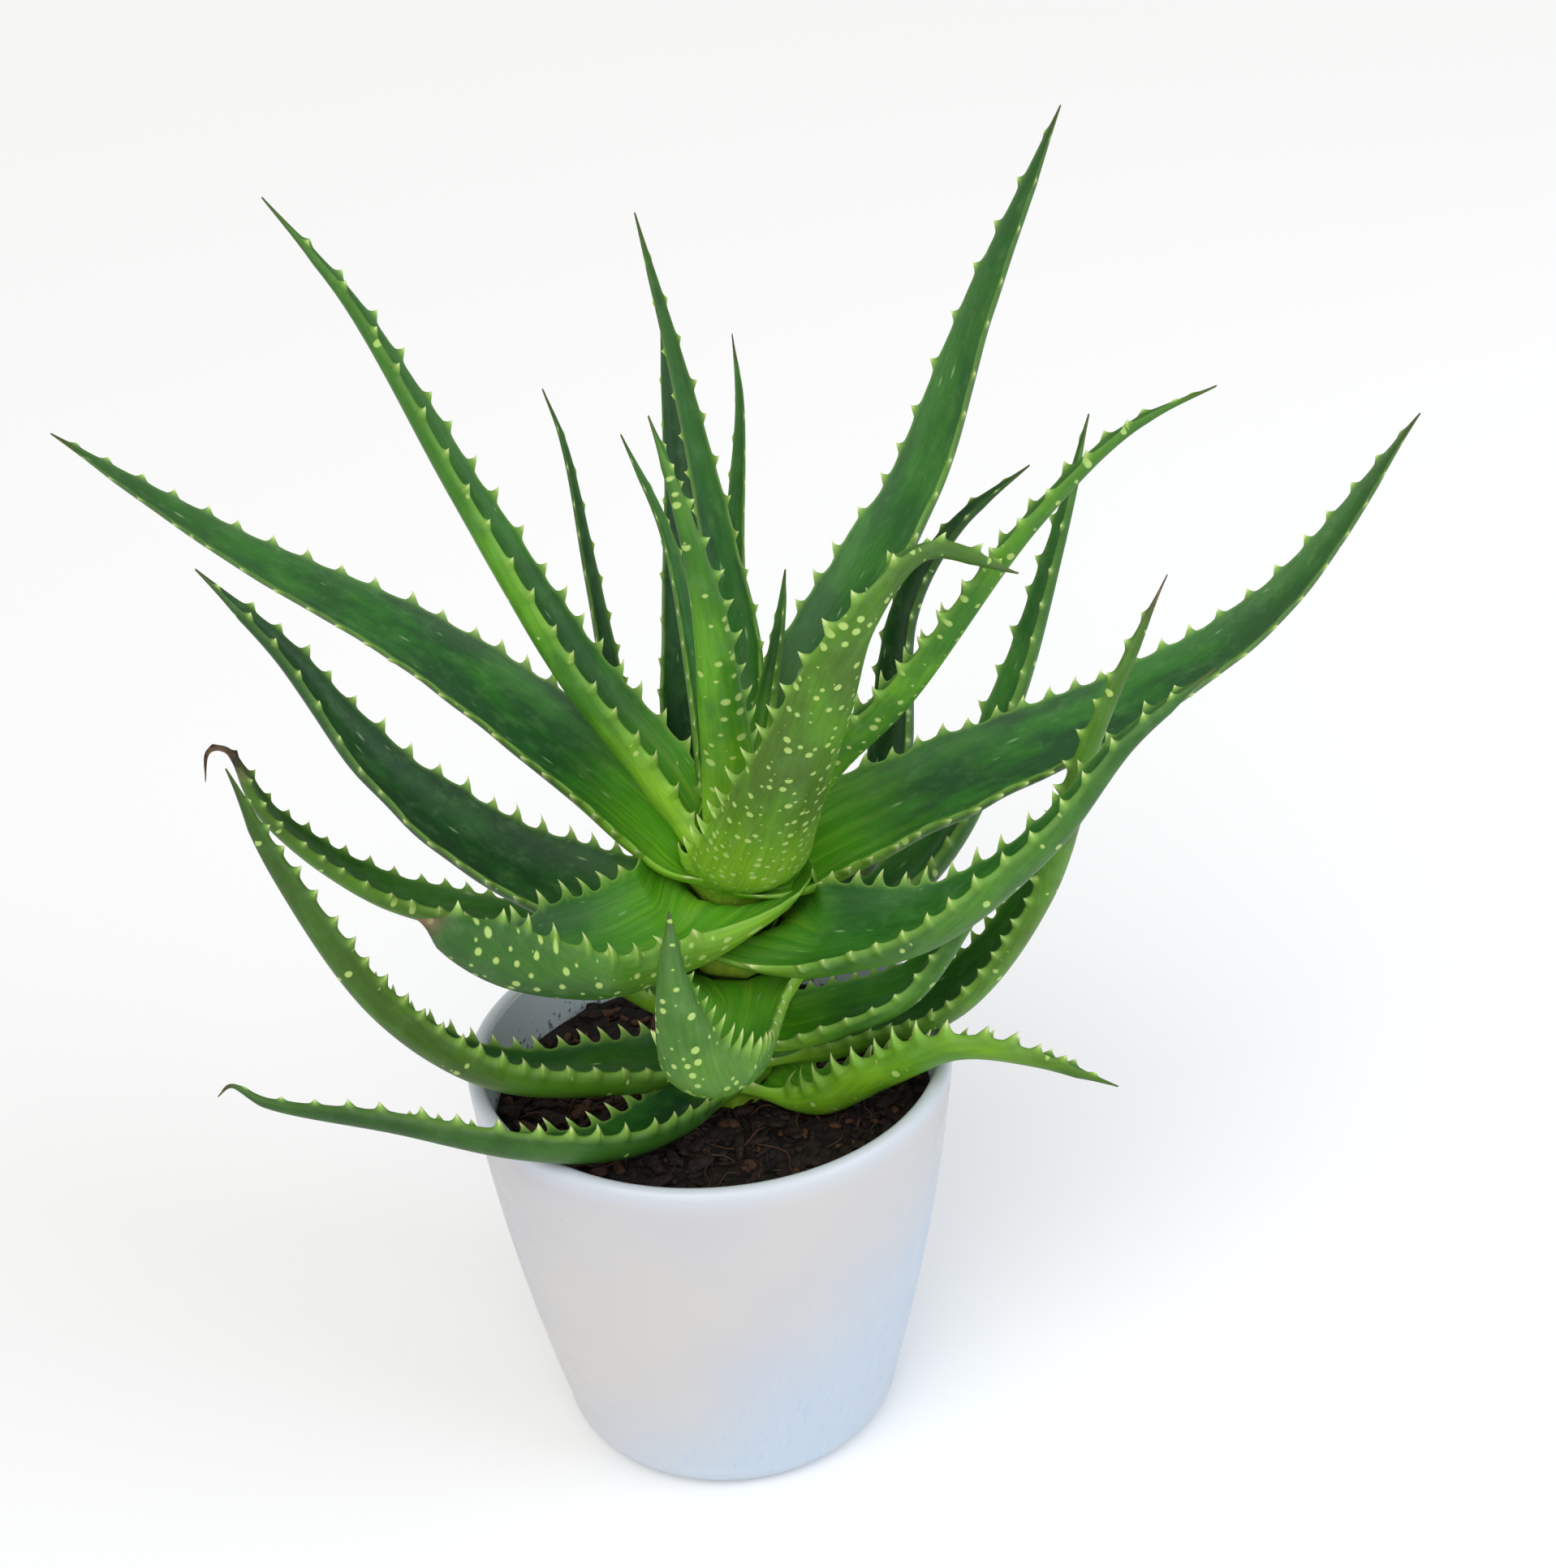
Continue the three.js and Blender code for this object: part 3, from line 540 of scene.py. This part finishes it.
def leaf(name, look, seed):
    """One leaf as a closed skin, u across from -1 to 1 and a in mm along. A section's upper face is
    an arc round a centre above the keel, and its underside bulges out from that by the thickness
    times (1 - u^2)^0.6. Each margin is drawn out by its teeth, which hook towards the tip, and near
    the base the skin is pleated by a sine across."""
    r = np.random.default_rng(seed)
    line = spine_line(look["spine"])
    run = np.r_[0, np.cumsum(np.linalg.norm(np.diff(line, axis=0), axis=1))]
    length = run[-1]
    margins = [teeth_along(length, *look["teeth"], look["bare"], look["fade"], r) for _ in range(2)]
    a = stations(length, look["sheath"], margins)
    s = np.clip(a / length, 0, 1)
    middle, tangent, up, side = axes_along(look, read(line, run, EVEN * length), a, s)

    # half the width and the thickness, both less where the tip is dried, and half the gutter's angle
    share = 1 - np.clip((s - look["full"]) / (1 - look["full"]), 0, 1) ** look["taper"]
    dried = smooth(s, look["dry"] - 0.04, look["dry"] + 0.04)
    half = (look["width"] / 2 * share + 0.15) * (1 + 0.025 * lumps(a[:, None], 26, seed)) * (1 - 0.25 * dried)
    bend = np.radians(np.interp(s, BASE_TO_TIP, look["channel"]))
    depth = (look["thick"] * (0.15 + 0.85 * share) * np.minimum(1, 10 * (1 - s)) + 0.4) * (1 - 0.45 * dried)
    depth = depth * (0.4 + 0.6 * smooth(a, 0, 25))

    # the sections: points closer together at the margins, with pleats across
    upper_count = 2 * int(8 + look["width"] * 0.3) + 1
    u = np.sin(np.pi / 2 * np.linspace(-1, 1, upper_count))
    v = np.sin(np.pi / 2 * np.linspace(1, -1, upper_count))[1:-1]
    across = np.concatenate([u, v])
    below = np.concatenate([np.zeros(len(u)), np.ones(len(v))])
    swell = np.concatenate([np.zeros(len(u)), (1 - v ** 2) ** 0.6])
    mm_across = half[:, None] * across
    pleat = np.sin(FULL_TURN * mm_across / PLEAT_GAP + seed) * (1 - across ** 2)
    pleat = pleat * (1 - smooth(a, 2, 30))[:, None]
    angle = bend[:, None] * across
    radius = (half / bend)[:, None]
    outer = radius + depth[:, None] * swell + PLEAT_DEPTH * pleat
    points = (middle[:, None] + up[:, None] * (radius - outer * np.cos(angle))[..., None]
              + side[:, None] * (outer * np.sin(angle))[..., None])

    # teeth: the margin moves out along the section's own curve, and its points forward
    out = side[:, None] * np.cos(angle)[..., None] + up[:, None] * np.sin(angle)[..., None]
    out = out * np.sign(across + 1e-9)[None, :, None]
    drawn = np.clip((np.abs(across) - 0.86) / 0.14, 0, 1) ** 1.7
    rise, tooth = np.zeros(points.shape[:2]), np.zeros(points.shape[:2])
    for margin, (at, tall) in ((across < 0, margins[0]), (across > 0, margins[1])):
        spikes = comb(a, at)
        rise += np.outer((spikes * tall).max(1), drawn * margin)
        tooth += np.outer(spikes.max(1), drawn * margin)
    rise *= np.minimum(1, half / 2.0)[:, None]
    points = (points + out * rise[..., None] + up[:, None] * (LIFT * rise)[..., None]
              + tangent[:, None] * (HOOK * rise ** 2 / look["teeth"][0])[..., None])
    points = sheathed(points, look, a, across, swell, pleat)

    # the finish: how near the margin, how young and how dried each point is
    margin_line = 0.8 + 2.2 * (1 - smooth(a, 0, 16))[:, None]
    edge = np.clip(1 - half[:, None] * (1 - np.abs(across)) / margin_line, 0, 1)
    edge = (1 - 0.75 * smooth(s, 0.35, 0.85))[:, None] * edge
    young = (1 - smooth(a, 0, look["young"]) + look["cream"] * (1 - smooth(a, -4, 10)))[:, None]
    patches = smooth(lumps(points.reshape(-1, 3), 9, seed).reshape(points.shape[:2]), 0.9, 1.5)
    scorched = look["scorch"] * patches * smooth(np.abs(across), 0.6, 0.9) * (1 - smooth(a, 2, 10))[:, None]
    dried = np.maximum(dried[:, None], 0.8 * scorched)

    rows, n = len(a), len(across)
    every = np.vstack([points.reshape(-1, 3), points[0].mean(0), middle[-1] + tangent[-1] * 0.4])
    fields = {"skin": (a[:, None] + 137 * seed, mm_across, look["dim"]), "zone": (below, edge, s[:, None]),
              "wear": (tooth, dried, young)}
    for key, three in fields.items():
        field = np.stack([np.broadcast_to(part, (rows, n)).ravel() for part in three], 1)
        fields[key] = np.vstack([field, field[0], field[-1]])
    spots = look["spots"] * (1 - 0.6 * fields["zone"][:, 2])
    return piece("aloe_leaf_" + name, every, closed_faces(rows, n, order=-1), SKINS[look["tone"]],
                 "leaf_" + name, "aloe_leaf", spots=spots, **fields)


# ------ pot
def outer_radius(z):
    """The wall's outside at height z: a cone with a parabolic swelling."""
    k = (POT_HEIGHT - z) / (POT_HEIGHT - FOOT_ROUND)
    return RIM_RADIUS + (FOOT_RADIUS - RIM_RADIUS) * k + WALL_BULGE * 4 * k * (1 - k)


def inner_radius(z):
    """The wall's inside at height z."""
    return outer_radius(z) - WALL


def arc(r, z, radius, start, stop, steps):
    """(radius, z) points on an arc about (r, z), from start to stop degrees."""
    t = np.radians(np.linspace(start, stop, steps))
    return np.stack([r + radius * np.cos(t), z + radius * np.sin(t)], 1)


def pot_profile():
    """The pot's section, from the middle of its underside out, up, over the lip, and down to the
    middle of its floor."""
    lip = WALL / 2
    top = POT_HEIGHT - lip
    corner_z = FLOOR + FLOOR_CORNER
    rise = np.linspace(FOOT_ROUND, top, 46)[1:]
    fall = np.linspace(top, corner_z, 30)[1:]
    return np.vstack([
        [(r, 0) for r in (6, 20, 34)],
        arc(FOOT_RADIUS - FOOT_ROUND, FOOT_ROUND, FOOT_ROUND, -90, 0, 14),
        np.stack([outer_radius(rise), rise], 1),
        arc(outer_radius(top) - lip, top, lip, 0, 180, 17)[1:],
        np.stack([inner_radius(fall), fall], 1),
        arc(inner_radius(corner_z) - FLOOR_CORNER, corner_z, FLOOR_CORNER, 0, -90, 8)[1:],
        [(30, FLOOR), (12, FLOOR)]])


def pot():
    """The section turned about the vertical, closed at a pole on each end. The radius wavers as a sine
    twice round the turn whose phase shifts with the height, and by less near the poles."""
    profile, around = pot_profile(), 192
    r, z = profile[:, :1], profile[:, 1:]
    way = round_turn(around)
    r = r + POT_WAVER * np.sin(way * 2 + 0.7 + z * 0.01) * np.minimum(1, r / 30)
    rings = np.stack([r * np.cos(way), r * np.sin(way), np.broadcast_to(z, r.shape)], -1)
    poles = [[0, 0, profile[0, 1]], [0, 0, profile[-1, 1]]]
    past_lip = np.arange(len(profile)) >= profile[:, 1].argmax() + 6
    return piece("glazed_pot", np.vstack([rings.reshape(-1, 3), poles]), closed_faces(len(profile), around),
                 glaze(), "pot", "pot_glaze", inner=np.r_[np.repeat(past_lip * 1.0, around), 0, 1])


def glaze():
    """White glazed earthenware: an opaque grey-white glaze fired to a satin gloss, with the faint ripple of
    a glaze that ran, a few pin specks, pale bluish runs near the foot, and damp soil marks on the wall
    above the soil. Painted light makes it bluer low down and on the right, cooler on the lip, and
    whiter and bluish inside."""
    material, tree, shader = blank_material("white_satin_glaze")
    at = node(tree, kind="TexCoord", out="Object")
    x, _, z = node(tree, {0: at}, **SPLIT)
    inside = node(tree, attribute_name="inner", **GRADE)
    drift, ripple, grit = (
        node(tree, {"Vector": at, "Scale": 1 / (size * MM), "Detail": detail, "Roughness": 0.55},
             kind="TexNoise") for size, detail in ((70, 2), (11, 3), (1.6, 4)))
    stretched = node(tree, {0: at, 1: (620.0, 620.0, 45.0)}, **SCALED)     # runs 2 mm wide, 20 mm long
    runs = node(tree, {"Vector": stretched, "Scale": 1.0, "Detail": 4}, kind="TexNoise")
    # painted light: the share of a bluish cast, larger lower down and further to the right
    slope = node(tree, {0: z, 1: -1.0, 2: node(tree, {0: x, 1: 0.9}, **TIMES)}, **TIMES_PLUS)
    slope = node(tree, {0: drift, 1: 0.05, 2: slope}, **TIMES_PLUS)
    painted_blue_light = node(tree, {0: slope, 1: -55 * MM, 2: 30 * MM, 4: 0.8}, **EASE)
    runs = node(tree, {0: runs, 1: 0.54, 2: 0.68, 4: 0.55}, **EASE)
    # pin specks: one to a 7 mm cell at most, 0.7 mm across
    cell = node(tree, {"Vector": at, "Scale": 1 / (7 * MM)}, kind="TexVoronoi", out=None)
    rare = node(tree, {0: node(tree, {0: cell["Color"]}, kind="SeparateColor"), 1: 0.88}, **ABOVE)
    speck = node(tree, {0: cell["Distance"], 1: 0.05}, kind="Math", operation="LESS_THAN")
    speck = node(tree, {0: speck, 1: rare}, **TIMES)
    # soil splashes: only on the inside, thinning out above the soil
    low = node(tree, {0: z, 1: 123 * MM, 2: 108 * MM, 4: 0.22}, **EASE)
    splash = node(tree, {0: node(tree, {0: grit, 1: low}, **PLUS), 1: 0.80, 2: 0.83, 4: 0.75}, **EASE)
    colour = linear("#c2c0bf")
    for share, over in (
            # patches a little greyer; painted light: a bluish cast low down and on the right, with the
            # glaze's own pale runs in it
            (node(tree, {0: drift, 1: 0.35, 2: 0.65}, **EASE), "#bcbbc1"),
            (painted_blue_light, "#b4c4d4"),
            (node(tree, {0: runs, 1: painted_blue_light}, **TIMES), "#a3b9d2"),
            # painted light: a cooler, bluish tint on the top of the lip
            (node(tree, {0: z, 1: 118 * MM, 2: 127 * MM, 4: 0.4}, **EASE), "#c3d3e2"),
            # specks, the inside made whiter and bluish as painted light, and the soil splashes on it
            (node(tree, {0: speck, 1: 0.5}, **TIMES), "#84827f"),
            (node(tree, {0: inside, 1: 0.95}, **TIMES), "#e4f0fc"),
            (node(tree, {0: splash, 1: inside}, **TIMES), "#4b4038")):
        colour = node(tree, {0: share, 6: colour, 7: linear(over)}, **COLOUR)
    relief = node(tree, {0: ripple, 1: 0.6, 2: drift}, **TIMES_PLUS)
    fill(tree, shader, {
        "Base Color": colour,
        "Normal": node(tree, {"Height": relief, "Distance": 0.25 * MM, "Strength": 0.35}, kind="Bump"),
        "Roughness": node(tree, {0: ripple, 1: 0.3, 2: 0.7, 3: 0.34, 4: 0.44}, **EASE),
        "IOR": 1.5})
    return material


# ------ soil
def soil_height(x, y):
    """Height of the potting mix: a low dome, with lumps of three sizes that fade at the wall."""
    r = np.hypot(x, y)
    edge = inner_radius(SOIL_EDGE_Z)
    at = np.stack([x, y], -1)
    dome = SOIL_EDGE_Z + SOIL_RISE * (1 - (r / edge) ** 2)
    bumps = sum(height * lumps(at, size, seed) for height, size, seed in SOIL_LUMPS)
    return dome + bumps * smooth(edge - r, 0, 5) - 0.8 * smooth(r, edge - 4, edge)


def mix_material(name, dark, light, grain):
    """Potting mix of peat, coir and composted bark: damp, rough and dull, nearly black in the gaps,
    with a pattern grain mm across. Each chip has its own shade, from its point attribute."""
    material, tree, shader = blank_material(name)
    at = node(tree, kind="TexCoord", out="Object")
    own = node(tree, attribute_name="shade", **GRADE)
    crumbs, dust = (node(tree, {"Vector": at, "Scale": 1 / (size * MM), "Detail": detail, "Roughness": 0.65},
                         kind="TexNoise") for size, detail in ((grain, 5), (0.6, 3)))
    colour = linear(dark)
    for value, low, high, most, over in (
            (crumbs, 0.34, 0.74, 1.0, light),           # lighter crumbs
            (own, 0.3, 1.0, 0.8, "#5f3d28"),            # red-brown chips of fresh bark
            (dust, 0.35, 0.8, 0.45, "#120c09")):        # black peat dust
        share = node(tree, {0: value, 1: low, 2: high, 4: most}, **EASE)
        colour = node(tree, {0: share, 6: colour, 7: linear(over)}, **COLOUR)
    relief = node(tree, {0: dust, 1: 0.5, 2: crumbs}, **TIMES_PLUS)
    fill(tree, shader, {
        "Base Color": colour,
        "Normal": node(tree, {"Height": relief, "Distance": 0.7 * MM, "Strength": 0.8}, kind="Bump"),
        "Roughness": node(tree, {0: dust, 1: 0.3, 2: 0.7, 3: 0.65, 4: 0.92}, **EASE),
        "IOR": 1.4})
    return material


def soil():
    """The filling: its top is soil_height on a polar grid, and its side follows the pot's inside."""
    around, edge = 224, inner_radius(SOIL_EDGE_Z) - GAP
    way = round_turn(around)
    r = edge * np.linspace(0.012, 1, 78) ** 0.9
    x, y = np.outer(r, np.cos(way)), np.outer(r, np.sin(way))
    top = np.stack([x, y, soil_height(x, y)], -1)
    side_z = np.array([100, 80, 60, 40, 24, 14, SOIL_FOOT])
    corner_z = FLOOR + FLOOR_CORNER
    chamfer = inner_radius(corner_z) - GAP - 0.5 * np.clip(corner_z - side_z, 0, 9)
    side_r = np.minimum(inner_radius(side_z) - GAP, chamfer)
    side = np.stack([np.outer(side_r, np.cos(way)), np.outer(side_r, np.sin(way)),
                     np.broadcast_to(side_z[:, None], (len(side_z), around))], -1)
    rings = np.concatenate([top, side])
    points = np.vstack([rings.reshape(-1, 3), [0, 0, soil_height(np.array(0.0), np.array(0.0))],
                        [0, 0, SOIL_FOOT]])
    mix = mix_material("damp_potting_mix", "#0c0807", "#28180f", 3.0)
    return piece("potting_mix", points, closed_faces(len(rings), around, order=-1), mix, "soil",
                 "potting_soil", shade=0.25 * rng.random(len(points)))


def scattered(count, inner, from_wall):
    """count places (x, y) on the soil, from the radius inner to from_wall mm off the pot's inside,
    spread evenly over the area."""
    outer = inner_radius(SOIL_EDGE_Z) - from_wall
    r = np.sqrt(rng.uniform(inner ** 2, outer ** 2, count))
    way = rng.uniform(0, FULL_TURN, count)
    return r * np.cos(way), r * np.sin(way)


def spin(points, axis, angles):
    """Groups of points turned about one axis, each group by its own angle."""
    i, j = [k for k in range(3) if k != axis]
    c, s = np.cos(angles)[:, None], np.sin(angles)[:, None]
    spun = points.copy()
    spun[..., i] = points[..., i] * c - points[..., j] * s
    spun[..., j] = points[..., i] * s + points[..., j] * c
    return spun


def chips(name, count, length, width, thick, material, shades, sink=0.3):
    """Flat angular crumbs as closed grids of 7 around by 5 along: each is a lens with its corners
    drawn out by its own noise, turned and tipped at random, and lying in the top of the soil."""
    rows, n = 5, 7
    x0, y0 = scattered(count, inner=10.0, from_wall=3.5)
    size = np.stack([rng.uniform(*span, count) for span in (length, width, thick)], 1) / 2
    t = np.linspace(0.16, 0.84, rows) * math.pi
    p = round_turn(n)
    girth = np.sin(t) ** 0.5
    lens = np.stack([np.broadcast_to(np.cos(t)[:, None], (rows, n)), np.outer(girth, np.cos(p)),
                     np.outer(girth, np.sin(p))], -1).reshape(-1, 3)
    lens = np.vstack([lens, [1.02, 0, 0], [-1.02, 0, 0]])
    own = lens[None] * (1 + rng.uniform(-0.28, 0.28, (count, len(lens), 1))) * size[:, None]
    yaw, pitch, rock = rng.uniform(0, FULL_TURN, count), rng.normal(0, 0.22, count), rng.normal(0, 0.3, count)
    for axis, angles in ((0, rock), (1, pitch), (2, yaw)):
        own = spin(own, axis, angles)
    z0 = soil_height(x0, y0) + size[:, 2] * (1 - sink)
    points = own + np.stack([x0, y0, z0], 1)[:, None]
    shade = np.repeat(rng.choice(shades, count) + rng.uniform(-0.08, 0.08, count), len(lens))
    return piece(name, points.reshape(-1, 3), closed_faces(rows, n, count), material, slot="potting_soil",
                 shade=shade)


def fibres(name, count, length, thick, material, shades):
    """Coir threads and rootlets: tubes of 5 sides whose line is an arc bowed sideways and upwards,
    lying on the soil."""
    rows, n = 9, 5
    x0, y0 = scattered(count, inner=9.0, from_wall=8.0)
    long = rng.uniform(*length, count)[:, None]
    t = np.linspace(-0.5, 0.5, rows)[None]
    bow, yaw = rng.normal(0, 0.45, count)[:, None], rng.uniform(0, FULL_TURN, count)[:, None]
    lx, ly = long * t, long * (bow * (t ** 2 - 0.08) + 0.06 * np.sin(9 * t + 5 * bow))
    x = x0[:, None] + lx * np.cos(yaw) - ly * np.sin(yaw)
    y = y0[:, None] + lx * np.sin(yaw) + ly * np.cos(yaw)
    lift = 1.1 + long * 0.10 * (0.25 - t ** 2) + 0.9 * np.sin(7 * t + 9 * bow)
    line = np.stack([x, y, soil_height(x, y).mean(1, keepdims=True) + lift], -1)
    tangent = unit(np.gradient(line, axis=1))
    across = unit(np.cross(tangent, [0, 0, 1.0]))
    upward = np.cross(across, tangent)
    p = round_turn(n)[:, None]
    r = rng.uniform(*thick, count)[:, None] * np.clip(1 - (2 * np.abs(t)) ** 4, 0.12, 1)
    ring = across[:, :, None] * np.cos(p) + upward[:, :, None] * np.sin(p)
    rings = line[:, :, None] + r[..., None, None] * ring
    ends = np.stack([line[:, 0] - tangent[:, 0] * 0.1, line[:, -1] + tangent[:, -1] * 0.1], 1)
    points = np.concatenate([rings.reshape(count, -1, 3), ends], 1)
    shade = np.repeat(rng.choice(shades, count), points.shape[1])
    return piece(name, points.reshape(-1, 3), closed_faces(rows, n, count), material, slot="potting_soil",
                 shade=shade)


# ------ stem
def stem_material():
    """The short woody stem: green-brown under rings of dried, papery leaf-base remains. High up it is
    pale yellow-green, the colour of the leaf bases there, made bright also as painted light in the crown's
    hollow.
    """
    material, tree, shader = blank_material("scarred_stem")
    at = node(tree, kind="TexCoord", out="Object")
    own = node(tree, attribute_name="shade", **GRADE)
    flat = node(tree, {0: at, 1: (500.0, 500.0, 120.0)}, **SCALED)      # fibres 2 mm apart, 8 mm long
    fibre = node(tree, {"Vector": flat, "Scale": 1.0, "Detail": 5}, kind="TexNoise")
    # pale yellow-green where the attribute is low, high on the stem: the leaf bases' colour and painted light
    # in the hollow
    colour = node(tree, {0: own, 6: linear("#a3bd4a"), 7: linear("#5f4530")}, **COLOUR)
    papery = node(tree, {0: fibre, 1: 0.35, 2: 0.7, 4: 0.6}, **EASE)
    fill(tree, shader, {
        "Base Color": node(tree, {0: papery, 6: colour, 7: linear("#9c8259")}, **COLOUR),
        "Normal": node(tree, {"Height": fibre, "Distance": 0.8 * MM, "Strength": 0.8}, kind="Bump"),
        "Roughness": node(tree, {0: fibre, 1: 0.3, 2: 0.7, 3: 0.6, 4: 0.85}, **EASE),
        "IOR": 1.45})
    return material


def stem():
    """The stem's profile turned about its leaning axis. Each leaf scar makes a ring: the radius
    follows the cube of a saw-tooth of the height, which is tilted round the stem."""
    around = 72
    z = np.linspace(80, 207.5, 230)[:, None]
    way = round_turn(around)
    r = stem_radius(z)
    scar = ((z + SCAR_TILT * np.sin(way + z * 0.4)) / SCAR_GAP % 1.0) ** 3
    ragged = lumps(np.stack(np.broadcast_arrays(3 * np.cos(way), 3 * np.sin(way), z), -1), 4, 9)
    r = np.maximum(0.3, r * (0.93 + 0.05 * scar) + 0.16 * ragged * (r > 3))
    rings = np.stack([stem_x(z) + r * np.cos(way), r * np.sin(way), np.broadcast_to(z, r.shape)], -1)
    ends = [[stem_x(q), 0, q] for q in (79.5, 208.2)]
    shade = np.r_[(1 - (0.35 + 0.65 * scar) * smooth(z, 120, 160)).ravel(), 1, 0]
    return piece("scarred_stem", np.vstack([rings.reshape(-1, 3), ends]), closed_faces(len(z), around),
                 stem_material(), "stem", "stem_bark", shade=shade)


# ------ the plant
SKINS = {tone: leaf_skin(tone, *greens) for tone, greens in SKIN_COLOURS.items()}
pot()
soil()
bark = mix_material("bark_chips", "#120b08", "#36221a", 2.0)
chips("bark_chips_large", 190, (5, 13), (2.6, 5.6), (1.2, 2.8), bark, (0.0, 0.0, 0.1, 0.2, 0.8))
chips("bark_chips_small", 760, (1.6, 5), (1.2, 2.8), (0.7, 1.8), bark, (0.0, 0.0, 0.1, 0.3, 0.95))
fibres("coir_threads", 110, (7, 22), (0.16, 0.34), bark, (0.3, 0.6, 0.9))
stem()
for number, (name, look) in enumerate(LEAVES.items()):
    leaf(name, {**PLAIN, **look}, number + 1)


# ------ floor, light and camera
CAMERA_DISTANCE = 716.3      # mm from its target
CAMERA_RISE = 29.32          # degrees above the horizon
CAMERA_ROLL = -3.13          # degrees
CAMERA_TARGET = (23.98, 0.0, 212.8)
CAMERA_FOCAL = 3200 / 1932   # focal length over the photograph's height
FLOOR_REACH = 25.0           # m to each side, so that it fills the view
PLANT_MIDDLE = (0, 0, 0.15)  # m, where the lamps point


def pale_floor():
    """A plain matt white floor, faintly lit from behind so that only the contact shadow stays."""
    material, tree, shader = blank_material("pale_floor")
    fill(tree, shader, {
        "Base Color": linear("#f0f0f0"), "Emission Color": linear("#ffffff"),
        "Emission Strength": 0.04,        # lit from behind, like a light table
        "Roughness": 0.9, "Specular IOR Level": 0.1})
    mesh = bpy.data.meshes.new("floor")
    corners = [(FLOOR_REACH * x, FLOOR_REACH * y, 0) for x, y in ((-1, -1), (1, -1), (1, 1), (-1, 1))]
    mesh.from_pydata(corners, [], [(0, 1, 2, 3)])
    mesh.materials.append(material)
    floor = placed("floor", mesh)


def lamp(name, kind, energy, place, colour, **settings):
    """A light at place that points at the plant."""
    data = bpy.data.lights.new(name, kind)
    data.energy, data.color = energy, linear(colour)[:3]
    for key, value in settings.items():
        setattr(data, key, value)
    made = placed(name, data)
    made.location = place
    made.rotation_mode = "QUATERNION"
    made.rotation_quaternion = (Vector(PLANT_MIDDLE) - Vector(place)).to_track_quat("-Z", "Y")


def photograph_camera():
    """The camera looks along +Y and down; its three axes are worked out from rise and roll."""
    rise, roll = math.radians(CAMERA_RISE), math.radians(CAMERA_ROLL)
    back = Vector((0, -math.cos(rise), math.sin(rise)))
    level = Vector((1, 0, 0))
    over = back.cross(level)
    right = level * math.cos(roll) + over * math.sin(roll)
    up = over * math.cos(roll) - level * math.sin(roll)
    data = bpy.data.cameras.new("photograph_camera")
    data.sensor_width = 36.0
    data.lens = CAMERA_FOCAL * data.sensor_width
    data.clip_start, data.clip_end = 0.02, 30.0
    camera = placed("photograph_camera", data)
    place = (Vector(CAMERA_TARGET) + back * CAMERA_DISTANCE) * MM
    axes = Matrix((right, up, back)).transposed().to_4x4()
    camera.matrix_world = Matrix.Translation(place) @ axes
    bpy.context.scene.camera = camera


pale_floor()
photograph_camera()
lamp("soft_key", "SUN", 1.7, (-0.4, -1.0, 1.15), "#fffdf8", angle=math.radians(55))
lamp("broad_fill", "AREA", 9.0, (1.2, -0.55, 0.95), "#e6efff", size=1.0)
world = bpy.data.worlds.new("studio")
world.use_nodes = True
fill(world.node_tree, world.node_tree.nodes["Background"], {"Color": linear("#f7f8f8"), "Strength": 0.68})
bpy.context.scene.world = world
bpy.context.scene.view_settings.view_transform = "Standard"
